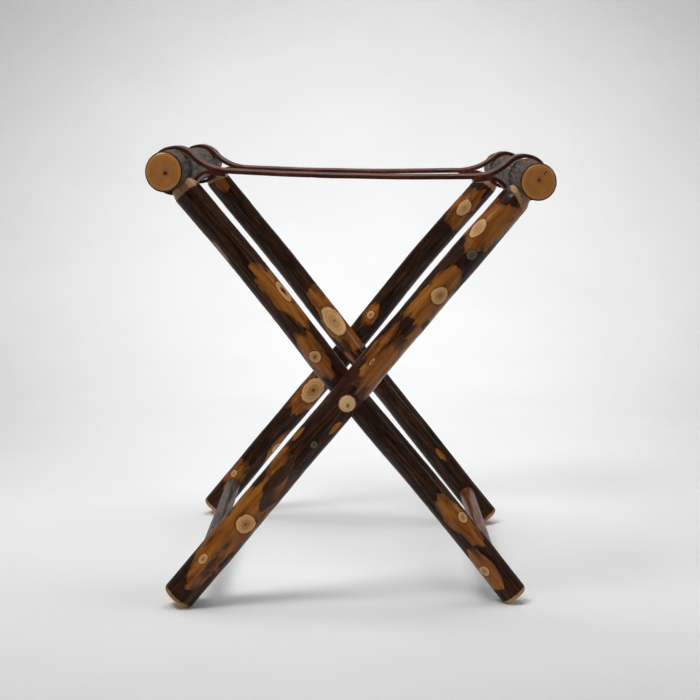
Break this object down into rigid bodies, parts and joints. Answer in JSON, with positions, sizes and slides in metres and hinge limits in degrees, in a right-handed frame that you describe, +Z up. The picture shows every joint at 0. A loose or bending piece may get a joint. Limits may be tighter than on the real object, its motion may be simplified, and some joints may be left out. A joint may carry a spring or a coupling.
{
  "type": "folding luggage rack",
  "caption": "Folding luggage rack of bark-on hickory poles: two pivoted X frames with round top rails and two leather straps looped between them.",
  "frame": {"origin": "middle of the rack's footprint on the floor", "axes": "X across the rack from the left rail to the right rail, Y along the rails from front to back, Z up"},
  "size_m": [0.4704, 0.5997, 0.5418],
  "materials": {
    "bark_pole": "lacquered dark hickory bark with shaved amber patches and pale knots",
    "rail_bark": "dry grey-brown bark with clear-coated amber end grain",
    "stretcher_bark": "thin bark, lightly lacquered",
    "plug_wood": "sanded end grain, satin lacquer",
    "strap_leather": "oiled reddish brown harness leather",
    "zinc_steel": "zinc-plated steel, dull",
    "rivet_copper": "burnished copper, slightly tarnished"
  },
  "bodies": {
    "outer_frame": {"right_rail": "rail_bark", "outer_front_leg": "bark_pole", "outer_rear_leg": "bark_pole", "left_stretcher": "stretcher_bark", "head_washers": "zinc_steel", "front_pivot_plug": "plug_wood", "rear_pivot_plug": "plug_wood"},
    "inner_frame": {"left_rail": "rail_bark", "inner_front_leg": "bark_pole", "inner_rear_leg": "bark_pole", "right_stretcher": "stretcher_bark", "pivot_screws": "zinc_steel", "thrust_washers": "zinc_steel"},
    "front_strap_right_end": {"front_strap_right": "strap_leather", "front_right_rivets": "rivet_copper"},
    "front_strap_bend": {"front_strap_middle": "strap_leather"},
    "front_strap_left_end": {"front_strap_left": "strap_leather", "front_left_rivets": "rivet_copper"},
    "rear_strap_right_end": {"rear_strap_right": "strap_leather", "rear_right_rivets": "rivet_copper"},
    "rear_strap_bend": {"rear_strap_middle": "strap_leather"},
    "rear_strap_left_end": {"rear_strap_left": "strap_leather", "rear_left_rivets": "rivet_copper"}
  },
  "joints": [
    {"name": "fold", "type": "hinge", "parent": "outer_frame", "child": "inner_frame", "pos_m": [0.0015, 0, 0.25], "axis": [0, 1, 0], "range_deg": [0, 67.5]},
    {"name": "front_right_loop", "type": "hinge", "parent": "outer_frame", "child": "front_strap_right_end", "pos_m": [0.2098, 0, 0.5096], "axis": [0, 1, 0], "range_deg": [-43.94, 0]},
    {"name": "front_strap_fold", "type": "hinge", "parent": "front_strap_right_end", "child": "front_strap_bend", "pos_m": [0, 0, 0.50875], "axis": [0, 1, 0], "range_deg": [0, 162.59], "deforming": ["front_strap_right", "front_strap_middle", "front_strap_left"]},
    {"name": "front_left_loop", "type": "hinge", "parent": "inner_frame", "child": "front_strap_left_end", "pos_m": [-0.2098, 0, 0.5126], "axis": [0, 1, 0], "range_deg": [0, 51.16]},
    {"name": "rear_right_loop", "type": "hinge", "parent": "outer_frame", "child": "rear_strap_right_end", "pos_m": [0.2098, 0, 0.5096], "axis": [0, 1, 0], "range_deg": [-43.13, 0]},
    {"name": "rear_strap_fold", "type": "hinge", "parent": "rear_strap_right_end", "child": "rear_strap_bend", "pos_m": [0, 0, 0.5056], "axis": [0, 1, 0], "range_deg": [0, 160.87], "deforming": ["rear_strap_right", "rear_strap_middle", "rear_strap_left"]},
    {"name": "rear_left_loop", "type": "hinge", "parent": "inner_frame", "child": "rear_strap_left_end", "pos_m": [-0.2098, 0, 0.5126], "axis": [0, 1, 0], "range_deg": [0, 50.26]}
  ],
  "couplings": [
    {"joint": "front_right_loop", "follows": "fold", "ratio": -0.65081},
    {"joint": "front_strap_fold", "follows": "fold", "ratio": 2.4085},
    {"joint": "front_left_loop", "follows": "fold", "ratio": 0.75772},
    {"joint": "rear_right_loop", "follows": "fold", "ratio": -0.63874},
    {"joint": "rear_strap_fold", "follows": "fold", "ratio": 2.3831},
    {"joint": "rear_left_loop", "follows": "fold", "ratio": 0.74438}
  ]
}
